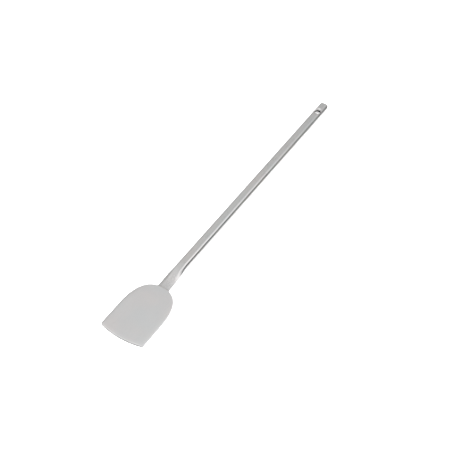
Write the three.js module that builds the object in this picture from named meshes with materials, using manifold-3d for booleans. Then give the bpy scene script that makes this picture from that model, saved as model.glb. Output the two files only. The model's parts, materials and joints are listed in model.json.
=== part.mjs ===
// A stainless steel mortar mixing paddle: a spade-shaped blade welded on the front of a flat-oval tube.
// Millimetres, +Z up. The paddle lies on its back: X runs from the blade's working edge to the hanging end of
// the handle, Y across the blade, and Z = 0 is the handle's flat underside. The origin is the base's centre.
import * as THREE from "three";
import { mergeVertices } from "three/addons/utils/BufferGeometryUtils.js";
import Module from "manifold-3d";

// Blade
const OVERALL_LENGTH = 914; // 36 in, blade and handle together
const BLADE_WIDTH = 114; // 4 1/2 in
const BLADE_LENGTH = 162;
const SHEET = 2; // blade thickness
const TIP_RADIUS = 205; // curve of the working edge
const CORNER_RADIUS = 6; // where the working edge meets the sides
const SHOULDER_LENGTH = 88; // length over which the sides close in to the handle
const SHOULDER_POWER = 2.5; // superellipse power of the shoulders
const ROLL_WIDTH = 8; // margin that is pressed down along the blade's edge
const ROLL_DROP = 0.8; // how far the edge lies below that margin
const CROWN = 0.8; // how far the blade's corners lie below its middle

// Handle
const TUBE_ROUND = 19.8; // the round tube that the handle is rolled from
const WALL = 1.2;
const HANDLE_THICKNESS = 13.3;
const PRESSED_THICKNESS = 2.8; // the handle's end, pressed flat
const PRESSED_BEVEL = 6; // extra width of the sloping sides of the pressed end
const FOLD_POWER = 1.12; // superellipse power of the sides where pressing folds them, 2 where they are round
const LAP = 46; // how far the pressed end runs under the blade
const PRESSED_PAST_BLADE = 5; // pressed length beyond the blade's top
const SWELL_LENGTH = 76; // from the pressed end up to the full section
const FOLD_END = [0.68, 0.92]; // the part of that length over which the folded sides turn round
const CAP_LENGTH = 6;
const CAP_POWER = 2.6; // superellipse power of the cap's crown
const HOLE_DIAMETER = 15;
const HOLE_FROM_END = 40;
const DIMPLE_DEPTH = 4; // how far punching the hole draws each wall in, at its rim
const DIMPLE_WIDTH = 6; // how far round the rim that reaches

// Welds
const SEAM_WIDTH = 1.6; // between the tube and its cap
const FILLET = 3; // leg of the beads on the flat faces
const CORNER_FILLET = 4.5; // leg of the beads beside the handle
const CONTACT = 0.05; // gap between pieces that touch

// Fineness of the curved shapes
const ARC_STEPS = 12;
const OUTLINE_STEPS = 24;
const SWELL_STEPS = 16;
const CAP_STEPS = 8;
const HOLE_SIDES = 48;
const DIMPLE_STEPS = 5;

// Places along the paddle
const tipX = -OVERALL_LENGTH / 2;
const endX = OVERALL_LENGTH / 2;
const bladeTopX = tipX + BLADE_LENGTH;
const lapX = bladeTopX - LAP;
const swellX = bladeTopX + PRESSED_PAST_BLADE;
const capX = endX - CAP_LENGTH;
const tubeEndX = capX - SEAM_WIDTH;
const holeX = endX - HOLE_FROM_END;
const bladeZ = PRESSED_THICKNESS + CONTACT;

const wasm = await Module();
wasm.setup();

const steel = (name, color, roughness) =>
  new THREE.MeshStandardMaterial({ name, color, roughness, metalness: 1 });
const bladeSteel = steel("blade_steel", 0xc8c7c6, 0.4);
const handleSteel = steel("handle_steel", 0xbdbdbd, 0.35);
const weldMetal = steel("weld_metal", 0xb4b2ae, 0.45);

const smooth = (u) => u * u * (3 - 2 * u);
const share = (x, from, to) => THREE.MathUtils.clamp((x - from) / (to - from), 0, 1);
const steps = (count) => Array.from({ length: count + 1 }, (_, i) => i / count);

// A closed solid through rings of points, each ring with the same number of points, capped at both ends.
function loft(rings) {
  const count = rings[0].length;
  const points = rings.flat();
  const index = [];
  for (let r = 0; r + 1 < rings.length; r++) {
    for (let i = 0; i < count; i++) {
      const a = r * count + i;
      const b = r * count + ((i + 1) % count);
      index.push(a, b, b + count, a, b + count, a + count);
    }
  }
  for (const first of [0, (rings.length - 1) * count]) {
    const centre = new THREE.Vector3();
    points.slice(first, first + count).forEach((p) => centre.addScaledVector(p, 1 / count));
    points.push(centre);
    for (let i = 0; i < count; i++) {
      const pair = [first + i, first + ((i + 1) % count)];
      index.push(points.length - 1, ...(first === 0 ? pair.reverse() : pair));
    }
  }
  const geometry = new THREE.BufferGeometry().setFromPoints(points);
  return geometry.setIndex(facingOut(points, index));
}

// The same triangles, turned round if their faces point inwards.
function facingOut(points, index) {
  let volume = 0;
  for (let i = 0; i < index.length; i += 3) {
    const [a, b, c] = index.slice(i, i + 3).map((k) => points[k]);
    volume += a.dot(b.clone().cross(c));
  }
  return volume < 0 ? index.reverse() : index;
}

function toSolid(geometry) {
  const bare = new THREE.BufferGeometry();
  bare.setAttribute("position", geometry.getAttribute("position"));
  bare.setIndex(geometry.getIndex());
  const merged = mergeVertices(bare, 1e-4);
  return new wasm.Manifold(
    new wasm.Mesh({
      numProp: 3,
      vertProperties: merged.attributes.position.array,
      triVerts: new Uint32Array(merged.index.array),
    }),
  );
}

function cut(body, ...tools) {
  const solid = tools.reduce((rest, tool) => rest.subtract(toSolid(tool)), toSolid(body));
  const { vertProperties, triVerts } = solid.getMesh();
  const geometry = new THREE.BufferGeometry();
  geometry.setAttribute("position", new THREE.BufferAttribute(vertProperties, 3));
  return geometry.setIndex(new THREE.BufferAttribute(triVerts, 1));
}

// A ring across the handle at x: flat top and bottom, and superellipse sides of this depth and power.
function ovalRing(x, { width, thickness, depth, power }, inset = 0) {
  const flat = width / 2 - depth;
  const middle = thickness / 2;
  const side = steps(ARC_STEPS).map((u) => {
    const angle = (u - 0.5) * Math.PI;
    const across = Math.max(Math.cos(angle), 0) ** (2 / power);
    const up = Math.sign(Math.sin(angle)) * Math.abs(Math.sin(angle)) ** (2 / power);
    return [flat + (depth - inset) * across, middle + (middle - inset) * up];
  });
  const other = side.toReversed().map(([y, z]) => [-y, z]);
  return [...side, ...other].map(([y, z]) => new THREE.Vector3(x, y, z));
}

function lengthRound(ring) {
  return ring.reduce((sum, p, i) => sum + p.distanceTo(ring[(i + 1) % ring.length]), 0);
}

// The handle's section at a thickness. Rolling and pressing keep the wall's length round the section.
function handleSection(thickness, power) {
  const pressed = share(thickness, HANDLE_THICKNESS, PRESSED_THICKNESS);
  const depth = thickness / 2 + PRESSED_BEVEL * smooth(pressed);
  const section = { width: 2 * depth, thickness, depth, power };
  const bends = lengthRound(ovalRing(0, section, WALL / 2));
  section.width += (Math.PI * (TUBE_ROUND - WALL) - bends) / 2;
  return section;
}

// The handle's section at a share of the stretch over which it swells.
function swellingSection(u) {
  const thickness = THREE.MathUtils.lerp(PRESSED_THICKNESS, HANDLE_THICKNESS, smooth(u));
  return handleSection(thickness, THREE.MathUtils.lerp(FOLD_POWER, 2, smooth(share(u, ...FOLD_END))));
}

const outerRing = (x, section) => ovalRing(x, section);
const innerRing = (x, section) => ovalRing(x, section, WALL);
const fullSection = swellingSection(1);
const pressedSection = swellingSection(0);

function circle(radius, x, z) {
  const turns = steps(HOLE_SIDES).slice(1).map((u) => 2 * Math.PI * u);
  return turns.map((a) => new THREE.Vector3(x + radius * Math.cos(a), radius * Math.sin(a), z));
}

// The dish that punching the hole sinks into the top (side 1) or the underside (side -1) of the tube, or into
// the hollow inside it, which is a wall's thickness deeper.
function dish(side, wall = 0) {
  const rim = HOLE_DIAMETER / 2;
  const middle = HANDLE_THICKNESS / 2;
  const inwards = steps(DIMPLE_STEPS).slice(0, -1);
  const sunk = inwards.map((u) => [rim + DIMPLE_WIDTH * u, DIMPLE_DEPTH * (1 - u) ** 2]);
  const above = [CONTACT, middle].map((height) => [rim + DIMPLE_WIDTH, -height]);
  const ring = ([radius, depth]) => circle(radius, holeX, middle + side * (middle - wall - depth));
  return loft([...sunk, ...above].map(ring));
}

// The tube, pressed flat where it runs under the blade, with the hole it hangs by punched through.
function handleTube() {
  const swell = steps(SWELL_STEPS).map((u) => [swellX + SWELL_LENGTH * u, swellingSection(u)]);
  const outer = [[lapX, pressedSection], ...swell, [tubeEndX, fullSection]];
  const hollow = [...swell.slice(1), [endX, fullSection]];
  const punch = loft([-1, 2].map((z) => circle(HOLE_DIAMETER / 2, holeX, z * HANDLE_THICKNESS)));
  const body = loft(outer.map(([x, section]) => outerRing(x, section)));
  const inside = loft(hollow.map(([x, section]) => innerRing(x, section)));
  return cut(body, dish(1), dish(-1), cut(inside, dish(1, WALL), dish(-1, WALL)), punch);
}

// Rings of a crown that closes in from a section over a length.
function crownRings(ring, length) {
  const middle = HANDLE_THICKNESS / 2;
  return steps(CAP_STEPS).map((u) => {
    const along = Math.sin((u * Math.PI) / 2);
    const size = Math.max(1 - along ** CAP_POWER, 0.02) ** (1 / CAP_POWER);
    const x = capX + length * along;
    return ring.map((p) => new THREE.Vector3(x, p.y * size, middle + (p.z - middle) * size));
  });
}

// The crowned cap that closes the tube, hollow towards it.
function endCap() {
  const outer = crownRings(outerRing(capX, fullSection), CAP_LENGTH);
  const inner = crownRings(innerRing(capX, fullSection), CAP_LENGTH - WALL);
  return cut(loft(outer), loft([innerRing(capX - WALL, fullSection), ...inner]));
}

// The weld between the tube and its cap, ground flush.
function endCapWeld() {
  const from = tubeEndX + CONTACT;
  const to = capX - CONTACT;
  const outer = loft([from, to].map((x) => outerRing(x, fullSection)));
  return cut(outer, loft([from - WALL, to + WALL].map((x) => innerRing(x, fullSection))));
}

// Half of the blade's outline, y >= 0, from the middle of the working edge to the middle of the top.
function halfOutline(inset) {
  const half = BLADE_WIDTH / 2 - inset;
  const corner = Math.max(CORNER_RADIUS - inset, 1);
  const radius = TIP_RADIUS - inset;
  const centreX = tipX + TIP_RADIUS;
  const cornerY = half - corner;
  const cornerX = centreX - Math.sqrt((radius - corner) ** 2 - cornerY ** 2);
  const turn = Math.atan2(cornerY, cornerX - centreX);
  const tip = new THREE.Path();
  tip.absarc(centreX, 0, radius, Math.PI, turn, true);
  tip.absarc(cornerX, cornerY, corner, turn, Math.PI / 2, true);
  const shoulder = steps(OUTLINE_STEPS).map((u) => {
    const angle = (u * Math.PI) / 2;
    const along = Math.sin(angle) ** (2 / SHOULDER_POWER);
    const across = u < 1 ? Math.cos(angle) ** (2 / SHOULDER_POWER) : 0;
    const x = bladeTopX - SHOULDER_LENGTH + (SHOULDER_LENGTH - inset) * along;
    return new THREE.Vector2(x, half * across);
  });
  return [...tip.getPoints(ARC_STEPS), ...shoulder];
}

// Where the shoulder's edge is, at a distance y from the middle.
function shoulderX(y) {
  const across = (2 * Math.abs(y)) / BLADE_WIDTH;
  const along = (1 - across ** SHOULDER_POWER) ** (1 / SHOULDER_POWER);
  return bladeTopX - SHOULDER_LENGTH * (1 - along);
}

// How far the blade is pressed down: a roll along its edge, and a crown that grows towards the corners.
function pressedDown({ x, y }, inset) {
  const margin = 1 - Math.min(inset / ROLL_WIDTH, 1);
  const roll = ROLL_DROP * margin ** 2 * smooth(share(x, bladeTopX, lapX));
  const crown = CROWN * ((2 * y) / BLADE_WIDTH) ** 2 * smooth(share(x, lapX, tipX));
  return roll + crown;
}

function blade() {
  const insets = [0, 0.25, 0.5, 0.75, 1, 2, 3.5, 5.5].map((u) => u * ROLL_WIDTH);
  const under = insets.map((inset) => {
    const half = halfOutline(inset);
    const other = half.slice(1, -1).reverse().map(({ x, y }) => new THREE.Vector2(x, -y));
    return [...half, ...other].map((p) => new THREE.Vector3(p.x, p.y, bladeZ - pressedDown(p, inset)));
  });
  const over = under.map((ring) => ring.map((p) => p.clone().setZ(p.z + SHEET)));
  return loft([...under.toReversed(), ...over]);
}

// A bead along a line: it fills the corner between a wall of this height and a face, slightly full.
function bead(line, outward, height, leg) {
  const middle = 0.58; // of each leg, where a flat bead would have a half
  const section = [[0, 0], [leg, 0], [leg * middle, height * middle], [0, height]];
  const rings = line.map((p) =>
    section.map(([out, up]) => new THREE.Vector3(p.x, p.y, p.z + up).addScaledVector(outward, out)),
  );
  return loft(rings);
}

// The bead across the front of the handle, against the blade's top edge.
function frontWeld() {
  const reach = pressedSection.width / 2 - CONTACT;
  const line = steps(ARC_STEPS).map((u) => {
    const y = THREE.MathUtils.lerp(-reach, reach, u);
    return new THREE.Vector3(shoulderX(y) + CONTACT, y, bladeZ);
  });
  return bead(line, new THREE.Vector3(1, 0, 0), SHEET - CONTACT, FILLET);
}

// The bead that fills the corner between the blade's top edge and the side of the handle.
function cornerWeld(side) {
  const innerY = pressedSection.width / 2 + CONTACT;
  const outerY = innerY + CORNER_FILLET;
  const innerX = shoulderX(innerY) + CONTACT;
  const outerX = shoulderX(outerY) + CONTACT;
  const feather = 0.3; // thickness of the bead where it runs out
  const hollow = 0.6; // how far the bead's curve stays out of the corner
  const shape = new THREE.Shape();
  shape.moveTo(innerX, side * innerY);
  shape.lineTo(innerX + CORNER_FILLET, side * innerY);
  shape.lineTo(innerX + CORNER_FILLET, side * (innerY + feather));
  shape.quadraticCurveTo(innerX + hollow, side * (innerY + hollow), outerX + feather, side * outerY);
  shape.lineTo(outerX, side * outerY);
  shape.closePath();
  const low = PRESSED_THICKNESS / 2;
  const depth = bladeZ + SHEET / 2 - low;
  const geometry = new THREE.ExtrudeGeometry(shape, { depth, bevelEnabled: false, curveSegments: 6 });
  return geometry.translate(0, 0, low);
}

// A bead under the blade, along the edge of the pressed tube.
function backWeld(from, to, outward) {
  const depth = PRESSED_THICKNESS - 0.6; // it stops short of the tube's underside
  return bead([from, to], outward, -depth, FILLET);
}

const paddle = new THREE.Group();

function add(name, geometry, material) {
  geometry.computeVertexNormals();
  const mesh = new THREE.Mesh(geometry, material);
  mesh.name = name;
  paddle.add(mesh);
}

add("blade", blade(), bladeSteel);
add("handle_tube", handleTube(), handleSteel);
add("end_cap", endCap(), handleSteel);
add("end_cap_weld", endCapWeld(), weldMetal);
add("front_weld", frontWeld(), weldMetal);

const beadY = pressedSection.width / 2 + CONTACT;
const beadZ = PRESSED_THICKNESS - CONTACT;
for (const [name, side] of [["left", 1], ["right", -1]]) {
  const from = new THREE.Vector3(lapX, side * beadY, beadZ);
  const to = new THREE.Vector3(bladeTopX - FILLET * 2, side * beadY, beadZ);
  add(`corner_weld_${name}`, cornerWeld(side), weldMetal);
  add(`back_weld_${name}`, backWeld(from, to, new THREE.Vector3(0, side, 0)), weldMetal);
}

const toeY = pressedSection.width / 2 - pressedSection.depth;
const toeFrom = new THREE.Vector3(lapX - CONTACT, -toeY, beadZ);
const toeTo = new THREE.Vector3(lapX - CONTACT, toeY, beadZ);
add("back_weld_end", backWeld(toeFrom, toeTo, new THREE.Vector3(-1, 0, 0)), weldMetal);

export default paddle;
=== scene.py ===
"""The looks of a stainless steel mortar mixing paddle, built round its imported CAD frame. Metres, +Z up."""

import json
import math

import bpy
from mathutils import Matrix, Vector, noise


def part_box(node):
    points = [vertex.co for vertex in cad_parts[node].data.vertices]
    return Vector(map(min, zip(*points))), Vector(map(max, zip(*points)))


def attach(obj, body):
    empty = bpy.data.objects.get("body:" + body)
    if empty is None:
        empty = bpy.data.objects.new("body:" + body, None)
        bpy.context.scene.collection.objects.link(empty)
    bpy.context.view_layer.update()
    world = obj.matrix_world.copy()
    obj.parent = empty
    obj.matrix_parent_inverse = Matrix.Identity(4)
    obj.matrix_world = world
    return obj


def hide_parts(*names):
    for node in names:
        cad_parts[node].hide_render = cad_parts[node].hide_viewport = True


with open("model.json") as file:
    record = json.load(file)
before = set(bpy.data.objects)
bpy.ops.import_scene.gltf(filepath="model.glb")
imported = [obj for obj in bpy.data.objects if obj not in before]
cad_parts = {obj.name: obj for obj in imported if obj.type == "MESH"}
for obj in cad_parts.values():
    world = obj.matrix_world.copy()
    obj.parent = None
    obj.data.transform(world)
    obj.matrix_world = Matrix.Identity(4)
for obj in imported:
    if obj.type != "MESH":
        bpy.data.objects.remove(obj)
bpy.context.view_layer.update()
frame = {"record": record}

# Places, from the frame
MM = 0.001
TIP_X, BLADE_TOP_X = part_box("blade")[0].x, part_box("blade")[1].x
LAP_X, TUBE_END_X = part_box("handle_tube")[0].x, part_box("handle_tube")[1].x
CAP_X, END_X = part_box("end_cap")[0].x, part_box("end_cap")[1].x
BLADE_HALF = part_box("blade")[1].y
PRESSED_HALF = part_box("handle_tube")[1].y
FULL_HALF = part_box("end_cap")[1].y
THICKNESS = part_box("handle_tube")[1].z
BLADE_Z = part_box("front_weld")[0].z
HOLE_BOX = frame["record"]["physics"]["openings"][0]["box_m"]
HOLE_X = (HOLE_BOX[0][0] + HOLE_BOX[1][0]) / 2

# Blade
SHEET = 2 * MM
FACE_REACH = 42 * MM  # how far the rings of the blade's faces go in from its outline
TIP_RADIUS = 205 * MM
CORNER_RADIUS = 6 * MM
SHOULDER_LENGTH = 88 * MM
SHOULDER_POWER = 2.5
ROLL_WIDTH = 8 * MM
ROLL_DROP = 0.8 * MM
CROWN = 0.8 * MM
EDGE_ROUND = 0.2 * MM
BLADE_WAVE = 0.05 * MM  # unevenness of the sheet
BLADE_WEAR = 1 * MM  # how far in from its edge the blade is worn bright
HEAT_REACH = 25 * MM

# Handle
WALL = 1.2 * MM
TUBE_ROUND = 19.8 * MM
PRESSED_THICKNESS = 2.8 * MM
PRESSED_BEVEL = 6 * MM
FOLD_POWER = 1.12  # superellipse power of the sides where pressing folds them, 2 where they are round
FOLD_END = (0.68, 0.92)  # the part of the swell over which the folded sides turn round
SWELL_X = BLADE_TOP_X + 5 * MM
SWELL_LENGTH = 76 * MM
PRESSED_UNTIL = (SWELL_X + 24 * MM, SWELL_X + 48 * MM)  # where the press's dents fade out
MARKED_UNTIL = (SWELL_X + 35 * MM, SWELL_X + 60 * MM)  # where its marks on the surface do
FOLDED_UNTIL = (SWELL_X + 30 * MM, SWELL_X + 60 * MM)  # where the worn folds do
CAP_POWER = 2.6
CAP_SHORT = 0.002 * MM  # how far the cap's visual stays inside its CAD box
HOLE_RADIUS = 7.5 * MM
HOLE_ROUND = 0.25 * MM  # rounding of the hole's edge
HOLE_WEAR = 1.2 * MM
HOLE_STRETCH = 14 * MM  # how far each way from the hole's middle the tube's rings are close together
DIMPLE_DEPTH = 4 * MM
DIMPLE_WIDTH = 6 * MM
DIMPLE_SOFTNESS = 0.4  # how softly the dimple runs out into the tube's rounded sides
TUBE_WAVE = 0.03 * MM
PRESS_DENTS = 0.24 * MM
GROUND_DEPTH = 0.1 * MM  # how far the grinder dug into the cap's weld
SEAM_GROOVE = 0.12 * MM  # depth of the line on each side of that weld
HOLLOW_SEEN = 30 * MM  # how far along the tube its inside shows through the hole, where the inner wall is painted with shade

# Welds
BEAD_LEG = 3 * MM
RIPPLE_PITCH = 1.1 * MM
CORNER_LEG = 4.5 * MM
CORNER_HOLLOW = 0.22  # how far the corner weld's face stays from the root, in legs
CORNER_BELOW, CORNER_ABOVE = 0.4 * MM, 0.3 * MM  # how far it runs past the CAD's plain bead
SINK = 0.25 * MM  # how far a bead reaches into the steel it joins

# Steel
GRAIN_DEPTH = 0.012 * MM
ANISOTROPIC = 0.3

# Fineness of the meshes
TIP_STEPS = 22
CORNER_STEPS = 8
EDGE_STEPS = 12
SHOULDER_STEPS = 40
SIDE_STEPS = 44  # round each side of the handle's section
FLAT_STEPS = 14  # across its flat top
LAP_STEPS = 26
SWELL_STEPS = 46
GRIP_STEPS = 60
HOLE_STEPS = 80
END_STEPS = 4
CROWN_STEPS = 16
TURN_STEPS = 72  # round the hole
RIPPLE_STEPS = 6  # along each ripple of a bead
BEAD_STEPS = 10  # across a bead
WELD_SLICES = 14  # up a corner weld

# Camera
CAMERA_TARGET = Vector((-0.0549, -0.0111, 0))
CAMERA_AZIMUTH = -56.8
CAMERA_ELEVATION = 48
CAMERA_DISTANCE = 2.218
CAMERA_LENS = 73.7


def smooth(u):
    return u * u * (3 - 2 * u)


def share(x, start, end):
    return min(max((x - start) / (end - start), 0), 1)


def mix(a, b, u):
    return a + (b - a) * u


def steps(count):
    return [i / count for i in range(count + 1)]


def unevenness(x, y, z, per_metre):
    return noise.noise(Vector((x, y, z)) * per_metre)


# Meshes


def piece(name, vertices, faces, sharp_angle=35):
    """A smooth-shaded mesh object, with edges over the angle kept sharp and its faces turned outwards."""
    mesh = bpy.data.meshes.new(name)
    mesh.from_pydata(vertices, [], faces)
    mesh.validate()
    turn_outwards(mesh)
    mesh.shade_smooth()
    mesh.set_sharp_from_angle(angle=math.radians(sharp_angle))
    obj = bpy.data.objects.new(name, mesh)
    bpy.context.scene.collection.objects.link(obj)
    return obj


def turn_outwards(mesh):
    volume = 0
    mesh.calc_loop_triangles()
    for triangle in mesh.loop_triangles:
        a, b, c = (mesh.vertices[i].co for i in triangle.vertices)
        volume += a.dot(b.cross(c))
    if volume < 0:
        mesh.flip_normals()


def loft(name, rings, loop=False, sharp_angle=35):
    """A closed surface through rings of points. Fans close the first and last ring, or loop joins them."""
    count = len(rings[0])
    vertices = [p for ring in rings for p in ring]
    faces = []
    joins = len(rings) if loop else len(rings) - 1
    for r in range(joins):
        start, after = r * count, (r + 1) % len(rings) * count
        for i in range(count):
            j = (i + 1) % count
            faces.append((start + i, start + j, after + j, after + i))
    if not loop:
        for start in (0, (len(rings) - 1) * count):
            ring = vertices[start:start + count]
            vertices.append(sum(ring, Vector()) / count)
            centre = len(vertices) - 1
            for i in range(count):
                pair = (start + i, start + (i + 1) % count)
                faces.append((centre, *(pair if start else reversed(pair))))
    return piece(name, vertices, faces, sharp_angle)


def paint(obj, name, value_at):
    """Stores a value between 0 and 1 on each of a piece's points, for its material to read."""
    layer = obj.data.attributes.new(name, "FLOAT", "POINT")
    for i, vertex in enumerate(obj.data.vertices):
        layer.data[i].value = min(max(value_at(vertex.co), 0), 1)


def without(body, *tools):
    """The body with the tools cut out of it. The tools are used up."""
    for tool in tools:
        cutter = body.modifiers.new("cut", "BOOLEAN")
        cutter.operation = "DIFFERENCE"
        cutter.solver = "EXACT"
        cutter.object = tool
    evaluated = body.evaluated_get(bpy.context.evaluated_depsgraph_get())
    shape = bpy.data.meshes.new_from_object(evaluated)
    body.modifiers.clear()
    body.data = shape
    shape.shade_smooth()
    shape.set_sharp_from_angle(angle=math.radians(35))
    for tool in tools:
        bpy.data.objects.remove(tool)
    return body


# Blade


def half_outline(inset):
    """Half of the blade's outline as (x, y), y >= 0, from the working edge's middle to the top's."""
    half = BLADE_HALF - inset
    corner = max(CORNER_RADIUS - inset, MM)
    radius = TIP_RADIUS - inset
    centre_x = TIP_X + TIP_RADIUS
    corner_y = half - corner
    corner_x = centre_x - math.sqrt((radius - corner) ** 2 - corner_y ** 2)
    turn = math.atan2(corner_y, corner_x - centre_x)
    shoulder_x = BLADE_TOP_X - SHOULDER_LENGTH
    tip = [mix(math.pi, turn, u) for u in steps(TIP_STEPS)]
    bend = [mix(turn, math.pi / 2, u) for u in steps(CORNER_STEPS)]
    points = [(centre_x + radius * math.cos(a), radius * math.sin(a)) for a in tip]
    points += [(corner_x + corner * math.cos(a), corner_y + corner * math.sin(a)) for a in bend[1:]]
    points += [(mix(corner_x, shoulder_x, u), half) for u in steps(EDGE_STEPS)[1:]]
    for u in steps(SHOULDER_STEPS)[1:]:
        angle = u * math.pi / 2
        along = math.sin(angle) ** (2 / SHOULDER_POWER)
        across = max(math.cos(angle), 0) ** (2 / SHOULDER_POWER)
        points.append((shoulder_x + (SHOULDER_LENGTH - inset) * along, half * across))
    return points


def pressed_down(x, y, inset):
    margin = 1 - min(inset / ROLL_WIDTH, 1)
    roll = ROLL_DROP * margin ** 2 * smooth(share(x, BLADE_TOP_X, LAP_X))
    crown = CROWN * (y / BLADE_HALF) ** 2 * smooth(share(x, LAP_X, TIP_X))
    return roll + crown


def blade_ring(inset, height):
    half = half_outline(inset)
    outline = half + [(x, -y) for x, y in half[-2:0:-1]]
    ring = []
    for x, y in outline:
        wave = BLADE_WAVE * unevenness(x, y, 0, per_metre=22) * share(inset, 0, ROLL_WIDTH)
        ring.append(Vector((x, y, BLADE_Z + height + wave - pressed_down(x, y, inset))))
    return ring


def make_blade():
    """The sheet, as rings from the middle of the underside, round the ground edge, to that of the front."""
    shares = (1, 0.88, 0.76, 0.64, 0.52, 0.42, 0.33, 0.25, 0.19, 0.14, 0.1, 0.07, 0.04)
    face = [u * FACE_REACH for u in shares]
    under = [(inset, 0) for inset in face]
    for u in steps(5):
        angle = u * math.pi / 2
        under.append((EDGE_ROUND * (1 - math.sin(angle)), EDGE_ROUND * (1 - math.cos(angle))))
    over = [(inset, SHEET - height) for inset, height in reversed(under)]
    blade = loft("blade_sheet", [blade_ring(*place) for place in under + over], sharp_angle=60)
    paint(blade, "wear", lambda p: 0.5 * (1 - edge_distance(p.x, p.y) / BLADE_WEAR))
    paint(blade, "heat", heat)
    return blade


def edge_distance(x, y):
    """About how far a point of the blade is inside its outline."""
    centre_x = TIP_X + TIP_RADIUS
    tip = TIP_RADIUS - math.hypot(x - centre_x, y)
    across = abs(y) / BLADE_HALF
    along = max(x - BLADE_TOP_X + SHOULDER_LENGTH, 0) / SHOULDER_LENGTH
    side = (1 - (across ** SHOULDER_POWER + along ** SHOULDER_POWER) ** (1 / SHOULDER_POWER)) * BLADE_HALF
    return max(min(tip, side), 0)


def heat(p):
    """How much the weld's heat has marked the steel at a point: 1 at the weld, 0 where it doesn't reach."""
    reach_y = max(abs(p.y) - PRESSED_HALF, 0)
    return 1 - math.hypot(p.x - BLADE_TOP_X, reach_y) / HEAT_REACH


# Handle


def oval(x, width, thickness, depth, power, inset=0):
    """A ring across the handle: flat top and bottom, and superellipse sides of this depth and power."""
    flat, middle = width / 2 - depth, thickness / 2
    side = []
    for u in steps(SIDE_STEPS):
        angle = (u - 0.5) * math.pi
        across = max(math.cos(angle), 0) ** (2 / power)
        up = math.copysign(abs(math.sin(angle)) ** (2 / power), math.sin(angle))
        side.append((flat + (depth - inset) * across, middle + (middle - inset) * up))
    top = [(mix(flat, -flat, u), thickness - inset) for u in steps(FLAT_STEPS)[1:-1]]
    other = [(-y, z) for y, z in reversed(side)]
    bottom = [(mix(-flat, flat, u), inset) for u in steps(FLAT_STEPS)[1:-1]]
    return [Vector((x, y, z)) for y, z in side + top + other + bottom]


def section(thickness, power):
    """The handle's outer section at a thickness, as oval takes it. The length round its wall is constant."""
    pressed = share(thickness, THICKNESS, PRESSED_THICKNESS)
    depth = thickness / 2 + PRESSED_BEVEL * smooth(pressed)
    bends = oval(0, 2 * depth, thickness, depth, power, WALL / 2)
    length = sum((p - bends[i - 1]).length for i, p in enumerate(bends))
    return 2 * depth + (math.pi * (TUBE_ROUND - WALL) - length) / 2, thickness, depth, power


def section_at(x):
    u = share(x, SWELL_X, SWELL_X + SWELL_LENGTH)
    thickness = mix(PRESSED_THICKNESS, THICKNESS, smooth(u))
    return section(thickness, mix(FOLD_POWER, 2, smooth(share(u, *FOLD_END))))


def stations():
    """Where the handle's rings are: close together where it swells and at its hole."""
    places = [mix(LAP_X, SWELL_X, u) for u in steps(LAP_STEPS)]
    places += [mix(SWELL_X, SWELL_X + SWELL_LENGTH, u) for u in steps(SWELL_STEPS)[1:]]
    hole_from, hole_to = HOLE_X - HOLE_STRETCH, HOLE_X + HOLE_STRETCH
    places += [mix(SWELL_X + SWELL_LENGTH, hole_from, u) for u in steps(GRIP_STEPS)[1:]]
    places += [mix(hole_from, hole_to, u) for u in steps(HOLE_STEPS)[1:]]
    return places + [mix(hole_to, TUBE_END_X, u) for u in steps(END_STEPS)[1:]]


def dimple(x, y):
    """How far the wall is drawn in round the hole."""
    away = math.hypot(x - HOLE_X, y) - HOLE_RADIUS
    return DIMPLE_DEPTH * (1 - share(away, 0, DIMPLE_WIDTH)) ** 2


def side_drop(y, thickness):
    """How far the tube's rounded side lies below its flat top at a distance y from the middle."""
    radius = thickness / 2
    past_flat = share(abs(y), FULL_HALF - radius, FULL_HALF)
    return radius * (1 - math.sqrt(1 - past_flat ** 2))


def drawn_in(p, thickness):
    """A point of the handle, moved in where punching the hole has dimpled it."""
    sunk = dimple(p.x, p.y)
    below_side = sunk - side_drop(p.y, thickness)
    depth = (below_side + math.hypot(below_side, DIMPLE_SOFTNESS * sunk)) / 2
    return p - Vector((0, 0, math.copysign(depth, p.z - thickness / 2)))


def used(p, thickness):
    """A point of the handle's outside, with the tube's unevenness, the press's dents and the dimple."""
    middle = Vector((p.x, p.y, thickness / 2))
    outward = Vector((0, p.y * 0.05, p.z - middle.z)).normalized()
    free = 1 - share(p.x, *PRESSED_UNTIL)
    on_blade = share(p.x, BLADE_TOP_X - 2 * MM, BLADE_TOP_X + 4 * MM)
    dents = PRESS_DENTS * free * on_blade * (unevenness(p.x, p.y, p.z, per_metre=210) - 0.5)
    wave = TUBE_WAVE * (1 - free) * (unevenness(p.x, p.y, p.z, per_metre=26) - 0.8)
    moved = drawn_in(p, thickness) + outward * (min(dents, 0) + wave)
    moved.z = max(moved.z, 0)
    return moved


def make_tube():
    """The tube, hollow from where the press no longer closes it, and open towards its cap."""
    outer, hollow = [], []
    for x in stations():
        shape = section_at(x)
        outer.append([used(p, shape[1]) for p in oval(x, *shape)])
        if shape[1] > PRESSED_THICKNESS + 0.2 * MM:
            hollow.append([drawn_in(p, shape[1]) for p in oval(x, *shape, WALL)])
    hollow.append(oval(END_X, *section_at(END_X), WALL))
    tube = without(loft("tube_outside", outer), loft("tube_hollow", hollow))
    tube = without(tube, drill())
    tube.name = "tube_brushed"
    paint(tube, "wear", tube_wear)
    paint(tube, "pressed", lambda p: 1 - share(p.x, *MARKED_UNTIL))
    paint(tube, "heat", heat)
    # Painted shade: marks the inner wall near the hole, which the steel paints near-black as the shade in the
    # hollow
    paint(tube, "inside", inside)
    return tube


def inside(p):
    """Near the hole, how far through the wall a point is: 0 on the tube's outside, 1 in its hollow. It is the
    mask of the shade painted into the hollow.
    """
    near = share(p.x, HOLE_X - HOLLOW_SEEN, HOLE_X - HOLLOW_SEEN + MM)
    drop = max(dimple(p.x, p.y), side_drop(p.y, THICKNESS))
    deep = THICKNESS / 2 - drop - abs(p.z - THICKNESS / 2)
    return near * share(deep, 0.3 * WALL, 0.8 * WALL)


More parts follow.
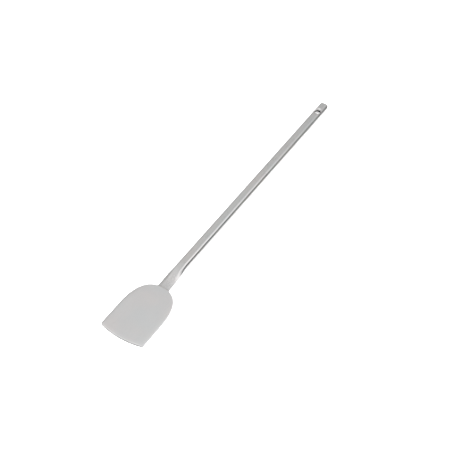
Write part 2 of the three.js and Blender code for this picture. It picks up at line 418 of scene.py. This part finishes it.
def tube_wear(p):
    """Wear is on the rim of the hole and on the folded edges of the pressed end."""
    rim = 1 - abs(math.hypot(p.x - HOLE_X, p.y) - HOLE_RADIUS) / HOLE_WEAR
    folded = 1 - share(p.x, *FOLDED_UNTIL)
    edge = (1 - (section_at(p.x)[0] / 2 - abs(p.y)) / (1.5 * MM)) * folded
    return max(rim, 0.7 * edge)


def drill():
    """What the hanging hole takes away: a round bar that flares where the hole's edges are rounded."""
    reach = 4 * MM
    low, high = DIMPLE_DEPTH, THICKNESS - DIMPLE_DEPTH
    profile = [(HOLE_RADIUS + 1.6 * HOLE_ROUND, -reach), (HOLE_RADIUS + HOLE_ROUND, low - 0.1 * MM)]
    profile += [(HOLE_RADIUS + HOLE_ROUND * (1 - math.sin(a)), low + HOLE_ROUND * (1 - math.cos(a)))
                for a in (u * math.pi / 2 for u in steps(6)[1:])]
    profile += [(radius, THICKNESS - height) for radius, height in reversed(profile)]
    turns = [math.tau * i / TURN_STEPS for i in range(TURN_STEPS)]
    rings = [[Vector((HOLE_X + r * math.cos(a), r * math.sin(a), z)) for a in turns] for r, z in profile]
    return loft("drill", rings)


def crown_rings(shape, inset, length, turns):
    """Rings of the crowned end: a section of the handle that closes in over a length."""
    middle = THICKNESS / 2
    rings = []
    for u in turns:
        along = math.sin(u * math.pi / 2)
        size = max(1 - along ** CAP_POWER, 0.01) ** (1 / CAP_POWER)
        ring = oval(CAP_X + length * along, *shape, inset)
        rings.append([Vector((p.x, p.y * size, middle + (p.z - middle) * size)) for p in ring])
    return rings


def make_cap():
    shape = section_at(END_X)
    length = END_X - CAP_X - CAP_SHORT
    outside = crown_rings(shape, 0, length, steps(CROWN_STEPS))
    hollow = crown_rings(shape, WALL, length - WALL, steps(CROWN_STEPS // 2))
    cap = loft("cap_crown", hollow[::-1] + outside, sharp_angle=50)
    paint(cap, "wear", lambda p: 0.5 * share(p.x, CAP_X + 2 * MM, END_X))
    paint(cap, "heat", lambda p: 0.3 * (1 - share(p.x, CAP_X, CAP_X + 3 * MM)))
    return cap


def make_seam():
    """The weld between tube and cap, ground nearly flush."""
    shape = section_at(END_X)
    start, end = TUBE_END_X, CAP_X
    places = [(mix(start, end, u), SEAM_GROOVE * abs(2 * u - 1) ** 4) for u in steps(8)]
    outside = [[grind(p) for p in oval(x, *shape, inset)] for x, inset in places]
    hollow = [oval(x, *shape, WALL) for x in (end, start)]
    seam = loft("seam_weld", outside + hollow, loop=True)
    paint(seam, "valley", lambda p: 0.3)
    return seam


def grind(p):
    """A point of the cap's weld, a little under flush where the grinder dug in."""
    depth = GROUND_DEPTH * max(unevenness(p.x, p.y, p.z, per_metre=180), 0)
    return p + (Vector((p.x, 0, THICKNESS / 2)) - p).normalized() * depth


# Welds


def ripple(along, across):
    """The bead's scalloped surface: crescents, one for each step of the torch, from 0 in a valley to 1."""
    phase = along / RIPPLE_PITCH + 0.55 * across ** 2
    return 1 - (phase % 1) ** 2


def bead(name, place, outward, up, height):
    """A rippled fillet weld, in the corner between a wall along up and a face along outward. Its root is at
    place(u), for u from 0 to 1."""
    length = (place(1) - place(0)).length
    rings, valleys = [], []
    for u in steps(round(length / RIPPLE_PITCH * RIPPLE_STEPS)):
        at = place(u)
        wobble = 1 + 0.08 * unevenness(at.x, at.y, 0, per_metre=260)
        taper = min(1, 0.45 + 6 * min(u, 1 - u))
        ring = [at - (outward + up) * SINK]
        for v in steps(BEAD_STEPS):
            across = 2 * v - 1
            swell = 0.56 + 0.1 * ripple(u * length, across) + 0.05 * (1 - across ** 2)
            angle = v * math.pi / 2
            round_to = Vector((math.cos(angle), math.sin(angle)))
            size = mix(1, swell * math.sqrt(2), 1 - across ** 2) * wobble * taper
            out = BEAD_LEG * round_to.x ** 1.25 * size
            rise = height * round_to.y ** 1.25 * size
            ring.append(at + outward * (out - SINK * round_to.y ** 6) + up * (rise - SINK * round_to.x ** 6))
            valleys.append(1 - ripple(u * length, across))
        rings.append(ring)
    weld = loft(name, rings, sharp_angle=70)
    layer = weld.data.attributes.new("valley", "FLOAT", "POINT")
    count = BEAD_STEPS + 1
    for r in range(len(rings)):
        for v in range(count):
            layer.data[r * (count + 1) + 1 + v].value = valleys[r * count + v]
    return weld


def shoulder_x(y):
    across = abs(y) / BLADE_HALF
    return BLADE_TOP_X - SHOULDER_LENGTH * (1 - (1 - across ** SHOULDER_POWER) ** (1 / SHOULDER_POWER))


def make_front_weld():
    """Across the front of the pressed tube, along the blade's top edge."""
    reach = PRESSED_HALF - 0.4 * MM

    def place(u):
        y = mix(-reach, reach, u)
        return Vector((shoulder_x(y), y, BLADE_Z))

    return bead("front_bead", place, Vector((1, 0, 0)), Vector((0, 0, 1)), SHEET * 0.9)


def make_back_welds():
    """Under the blade: a bead along each side of the pressed tube, and one across its end."""
    depth = PRESSED_THICKNESS - 0.6 * MM
    z = BLADE_Z
    down = Vector((0, 0, -1))
    made = {}
    for name, side in (("left", 1), ("right", -1)):
        start = Vector((LAP_X, side * PRESSED_HALF, z))
        end = Vector((BLADE_TOP_X - 2 * BEAD_LEG, side * PRESSED_HALF, z))
        made[f"back_weld_{name}"] = bead(
            f"back_bead_{name}", lambda u: start.lerp(end, u), Vector((0, side, 0)), down, depth)
    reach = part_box("back_weld_end")[1].y
    start, end = Vector((LAP_X, -reach, z)), Vector((LAP_X, reach, z))
    made["back_weld_end"] = bead(
        "back_bead_end", lambda u: start.lerp(end, u), Vector((-1, 0, 0)), down, depth)
    return made


def make_corner_weld(name, side):
    """Between the blade's top edge and the side of the handle, as rounded slices from the bottom up."""
    low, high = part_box(name)[0].z - CORNER_BELOW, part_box(name)[1].z + CORNER_ABOVE
    inner_y = PRESSED_HALF - SINK
    rings = []
    for u in steps(WELD_SLICES):
        bulge = max(1 - (2 * u - 1) ** 4, 0.05) ** 0.5
        leg = CORNER_LEG * bulge * (0.93 + 0.1 * ripple(u * (high - low), 0))
        outer_y = inner_y + leg
        inner_x, outer_x = shoulder_x(inner_y) - SINK, shoulder_x(outer_y) - SINK
        ring = [(inner_x, inner_y), (inner_x + leg, inner_y)]
        for v in steps(BEAD_STEPS)[1:-1]:
            hollow = CORNER_HOLLOW * leg
            a = Vector((inner_x + leg, inner_y)).lerp(Vector((inner_x + hollow, inner_y + hollow)), v)
            b = Vector((inner_x + hollow, inner_y + hollow)).lerp(Vector((outer_x, outer_y)), v)
            ring.append(tuple(a.lerp(b, v)))
        ring.append((outer_x, outer_y))
        rings.append([Vector((x, side * y, mix(low, high, u))) for x, y in ring])
    for p in (p for ring in rings for p in ring):
        along_handle = share(p.x - shoulder_x(p.y), 0, CORNER_LEG)
        p.z = low + (p.z - low) * (1 - 0.7 * along_handle)
    weld = loft(name.replace("weld", "bead"), rings, sharp_angle=60)
    paint(weld, "valley", lambda p: 0.35 + 0.5 * unevenness(p.x, p.y, p.z, per_metre=500))
    return weld


# Materials


class Nodes:
    """A material's node tree, with a short way to add and link nodes."""

    def __init__(self, name, base_color, roughness, anisotropic=0.0):
        self.material = bpy.data.materials.new(name)
        self.material.use_nodes = True
        self.tree = self.material.node_tree
        self.shader = self.tree.nodes["Principled BSDF"]
        self.shader.inputs["Base Color"].default_value = (*base_color, 1)
        self.shader.inputs["Metallic"].default_value = 1
        self.shader.inputs["Roughness"].default_value = roughness
        self.shader.inputs["Anisotropic"].default_value = anisotropic
        self.place = self.add("TexCoord").outputs["Object"]

    def add(self, kind, **settings):
        node = self.tree.nodes.new(f"ShaderNode{kind}")
        for key, value in settings.items():
            setattr(node, key, value)
        return node

    def link(self, source, target):
        self.tree.links.new(source, target)

    def noise(self, scale, detail=3.0, rough=0.5, stretch=(1, 1, 1)):
        """Noise with this many features per metre, squeezed along each axis by stretch."""
        mapping = self.add("Mapping")
        mapping.inputs["Scale"].default_value = [scale * s for s in stretch]
        self.link(self.place, mapping.inputs["Vector"])
        node = self.add("TexNoise")
        node.inputs["Scale"].default_value = 1
        node.inputs["Detail"].default_value = detail
        node.inputs["Roughness"].default_value = rough
        self.link(mapping.outputs["Vector"], node.inputs["Vector"])
        return node.outputs["Fac"]

    def painted(self, name):
        return self.add("Attribute", attribute_name=name).outputs["Fac"]

    def ranged(self, value, low, high, to_low, to_high):
        node = self.add("MapRange")
        for key, number in zip(("From Min", "From Max", "To Min", "To Max"), (low, high, to_low, to_high)):
            node.inputs[key].default_value = number
        self.link(value, node.inputs["Value"])
        return node.outputs["Result"]

    def math(self, operation, a, b):
        node = self.add("Math", operation=operation)
        for socket, value in zip(node.inputs, (a, b)):
            if isinstance(value, (int, float)):
                socket.default_value = value
            else:
                self.link(value, socket)
        return node.outputs["Value"]

    def blend(self, kind, factor, a, b):
        """Mixes two colours. Each is a socket or an (r, g, b)."""
        node = self.add("Mix", data_type="RGBA", blend_type=kind, clamp_factor=True)
        for socket, value in ((node.inputs[0], factor), (node.inputs[6], a), (node.inputs[7], b)):
            if isinstance(value, tuple):
                socket.default_value = (*value, 1)
            elif isinstance(value, (int, float)):
                socket.default_value = value
            else:
                self.link(value, socket)
        return node.outputs[2]

    def bump(self, height, depth, after=None):
        node = self.add("Bump")
        node.inputs["Strength"].default_value = 1
        node.inputs["Distance"].default_value = depth
        self.link(height, node.inputs["Height"])
        if after is not None:
            self.link(after, node.inputs["Normal"])
        return node.outputs["Normal"]

    def set(self, name, source):
        self.link(source, self.shader.inputs[name])


def steel(name, base_color, roughness, grain):
    """Satin stainless steel, with its grain, faint mottling, bright worn edges, and marks of the press and of
    the weld's heat. Inside the tube it is painted near-black, as painted shade. The grain is noise, scaled
    along each axis by grain."""
    m = Nodes(name, base_color, roughness, ANISOTROPIC)
    wear, hot, pressed = m.painted("wear"), m.painted("heat"), m.painted("pressed")
    grain_lines = m.noise(1600, 4, 0.6, grain)
    mottle = m.noise(14, 2, 0.45)
    cloud = m.noise(38, 3, 0.55)
    specks = m.ranged(m.noise(420, 3, 0.65), 0.47, 0.62, 0, 1)
    marks = m.noise(420, 2, 0.5, (0.8, 1, 1))

    warm = tuple(c * k for c, k in zip(base_color, (1.02, 0.995, 0.985)))
    cool = tuple(c * k for c, k in zip(base_color, (0.965, 0.985, 0.985)))
    dark = tuple(c * 0.72 for c in base_color)
    bright = tuple(min(c * 1.2, 1) for c in base_color)
    straw = tuple(c * k for c, k in zip(base_color, (0.93, 0.88, 0.8)))
    color = m.blend("MIX", m.ranged(mottle, 0.35, 0.65, 0, 1), cool, warm)
    color = m.blend("MIX", m.ranged(grain_lines, 0.3, 0.7, 0.22, 0), color, dark)
    dull_marks, bright_marks = m.ranged(marks, 0.47, 0.3, 0, 0.32), m.ranged(marks, 0.52, 0.7, 0, 0.5)
    color = m.blend("MIX", m.math("MULTIPLY", pressed, dull_marks), color, dark)
    color = m.blend("MIX", m.math("MULTIPLY", pressed, bright_marks), color, bright)
    color = m.blend("MIX", m.math("MULTIPLY", hot, 0.4), color, straw)
    color = m.blend("MIX", m.math("MULTIPLY", m.math("MULTIPLY", hot, specks), 0.7), color, dark)
    color = m.blend("MIX", m.math("MULTIPLY", wear, 0.6), color, bright)
    # Painted shade: the tube's hollow near the hole is painted near-black, where shade falls inside it
    color = m.blend("MIX", m.painted("inside"), color, (0.05, 0.048, 0.045))
    m.set("Base Color", color)

    rough = m.math("ADD", m.ranged(grain_lines, 0.3, 0.7, roughness - 0.06, roughness + 0.06),
                   m.ranged(cloud, 0.3, 0.7, -0.03, 0.03))
    rough = m.math("ADD", rough, m.math("MULTIPLY", hot, 0.06))
    rough = m.math("SUBTRACT", rough, m.math("MULTIPLY", wear, 0.08))
    m.set("Roughness", rough)

    normal = m.bump(m.noise(75, 2, 0.5, (0.6, 1, 1)), 0.06 * MM)
    normal = m.bump(grain_lines, GRAIN_DEPTH, normal)
    normal = m.bump(m.math("MULTIPLY", hot, specks), 0.05 * MM, normal)
    m.set("Normal", normal)
    return m.material


def weld_metal():
    """Weld metal: duller than the steel, darker in the valleys between its ripples, with a faint tint."""
    base = (0.65, 0.64, 0.625)
    m = Nodes("weld_metal", base, 0.42)
    valley = m.painted("valley")
    grains = m.noise(900, 4, 0.6)
    color = m.blend("MIX", m.ranged(m.noise(120, 2, 0.5), 0.35, 0.65, 0, 1), base, (0.62, 0.6, 0.56))
    color = m.blend("MIX", m.math("MULTIPLY", valley, 0.3), color, (0.34, 0.32, 0.3))
    m.set("Base Color", color)
    rough = m.ranged(grains, 0.3, 0.7, 0.36, 0.46)
    m.set("Roughness", m.math("ADD", rough, m.math("MULTIPLY", valley, 0.12)))
    m.set("Normal", m.bump(grains, 0.02 * MM))
    return m.material


# The stage


def make_floor():
    bpy.ops.mesh.primitive_plane_add(size=200)
    floor = bpy.context.object
    floor.name = "floor"
    floor.visible_glossy = False  # the steel mirrors the paper that the world shows below the horizon
    material = bpy.data.materials.new("floor_paper")
    material.use_nodes = True
    shader = material.node_tree.nodes["Principled BSDF"]
    shader.inputs["Base Color"].default_value = (0.93, 0.93, 0.93, 1)
    shader.inputs["Roughness"].default_value = 0.9
    shader.inputs["Specular IOR Level"].default_value = 0
    shader.inputs["Emission Color"].default_value = (1, 1, 1, 1)
    shader.inputs["Emission Strength"].default_value = 0.2  # a lit table, white under the paddle too
    floor.data.materials.append(material)


def make_world():
    """A studio as the steel mirrors it: bright overhead with one lamp, round the horizon dark on the near
    side and pale on the far one, and white paper below, shadowed by the paddle beyond the blade."""
    world = bpy.data.worlds.new("studio")
    bpy.context.scene.world = world
    world.use_nodes = True
    tree = world.node_tree
    background = tree.nodes["Background"]

    def add(kind, values, sources=(), **settings):
        node = tree.nodes.new(f"ShaderNode{kind}")
        for key, value in settings.items():
            setattr(node, key, value)
        for key, value in values.items():
            node.inputs[key].default_value = value
        for key, source in sources:
            tree.links.new(source, node.inputs[key])
        return node

    def spread(value, start, end, low, high, easing="LINEAR"):
        ends = {"From Min": start, "From Max": end, "To Min": low, "To Max": high}
        return add("MapRange", ends, [("Value", value)], interpolation_type=easing).outputs["Result"]

    def towards(way):
        return add("VectorMath", {1: way}, [(0, direction)], operation="DOT_PRODUCT").outputs["Value"]

    def blend(share, low, high):
        return add("Mix", {}, [(0, share), (2, low), (3, high)], data_type="FLOAT").outputs[0]

    direction = tree.nodes.new("ShaderNodeTexCoord").outputs["Generated"]
    height = towards((0, 0, 1))
    horizon = spread(towards((0.6, 0.6, 0)), -0.25, 0.7, 0.06, 0.85)
    ramp = add("ValToRGB", {}, [("Fac", height)])
    heights = ((0, 0.5), (0.5, 0.6), (0.65, 0.78), (0.8, 0.98), (1, 1.08))  # upwards part, and tone there
    while len(ramp.color_ramp.elements) < len(heights):
        ramp.color_ramp.elements.new(0.5)
    for element, (z, tone) in zip(ramp.color_ramp.elements, heights):
        element.position = z
        element.color = (tone, tone, tone, 1)
    paper = spread(towards((-0.28, 0.61, -0.74)), 0.6, 0.86, 1.25, 0.02, "SMOOTHSTEP")
    lamp = spread(towards((-0.36, 0.37, 0.86)), 0.9, 0.97, 0, 1, "SMOOTHSTEP")
    above = add("Mix", {3: 1.9}, [(0, lamp), (2, ramp.outputs["Color"])], data_type="FLOAT").outputs[0]
    walls = blend(spread(height, 0.12, 0.5, 0, 1, "SMOOTHSTEP"), horizon, above)
    tone = blend(spread(height, -0.42, -0.62, 0, 1, "SMOOTHSTEP"), walls, paper)
    tree.links.new(tone, background.inputs["Color"])
    seen = add("Background", {"Color": (1, 1, 1, 1)})
    rays = tree.nodes.new("ShaderNodeLightPath")
    lit, shown = background.outputs["Background"], seen.outputs["Background"]
    mixed = add("MixShader", {}, [("Fac", rays.outputs["Is Camera Ray"]), (1, lit), (2, shown)])
    tree.links.new(mixed.outputs["Shader"], tree.nodes["World Output"].inputs["Surface"])


def make_skylight():
    """Even light from overhead that whitens the floor. The steel doesn't mirror it."""
    light = bpy.data.lights.new("skylight", "SUN")
    light.energy = 3.8
    light.angle = math.radians(100)
    obj = bpy.data.objects.new("skylight", light)
    obj.location = (0, 0, 3)
    obj.rotation_euler = (math.radians(-12), math.radians(8), 0)
    obj.visible_glossy = False
    bpy.context.scene.collection.objects.link(obj)


def softbox(name, place, size, watts):
    """A soft area light at a place, aimed at the middle of the paddle."""
    light = bpy.data.lights.new(name, "AREA")
    light.shape = "RECTANGLE"
    light.size, light.size_y = size
    light.energy = watts
    obj = bpy.data.objects.new(name, light)
    obj.location = place
    obj.rotation_mode = "QUATERNION"
    obj.rotation_quaternion = Vector(place).to_track_quat("Z", "Y")
    obj.visible_camera = False
    bpy.context.scene.collection.objects.link(obj)


def make_camera():
    a, e = math.radians(CAMERA_AZIMUTH), math.radians(CAMERA_ELEVATION)
    back = Vector((math.sin(a) * math.cos(e), -math.cos(a) * math.cos(e), math.sin(e)))
    data = bpy.data.cameras.new("camera")
    data.lens = CAMERA_LENS
    camera = bpy.data.objects.new("camera", data)
    camera.location = CAMERA_TARGET + back * CAMERA_DISTANCE
    camera.rotation_mode = "QUATERNION"
    camera.rotation_quaternion = (-back).to_track_quat("-Z", "Y")
    bpy.context.scene.collection.objects.link(camera)
    bpy.context.scene.camera = camera


make_camera()
make_world()
make_floor()
make_skylight()
softbox("right_side", (1.2, -1.7, 2.1), (2, 2), 14)
bpy.context.scene.view_settings.view_transform = "Standard"

made = {
    "blade": make_blade(),
    "handle_tube": make_tube(),
    "end_cap": make_cap(),
    "end_cap_weld": make_seam(),
    "front_weld": make_front_weld(),
    "corner_weld_left": make_corner_weld("corner_weld_left", 1),
    "corner_weld_right": make_corner_weld("corner_weld_right", -1),
    **make_back_welds(),
}
looks = {
    "blade_steel": steel("blade_steel", (0.632, 0.627, 0.628), 0.36, (0.03, 1, 1)),
    "handle_steel": steel("handle_steel", (0.56, 0.555, 0.553), 0.32, (0.02, 1, 1)),
    "weld_metal": weld_metal(),
}
slots = {row["node"]: row["material_slot"] for row in frame["record"]["subparts"]}
for node, obj in made.items():
    obj.data.materials.append(looks[slots[node]])
    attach(obj, "root")
    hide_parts(node)
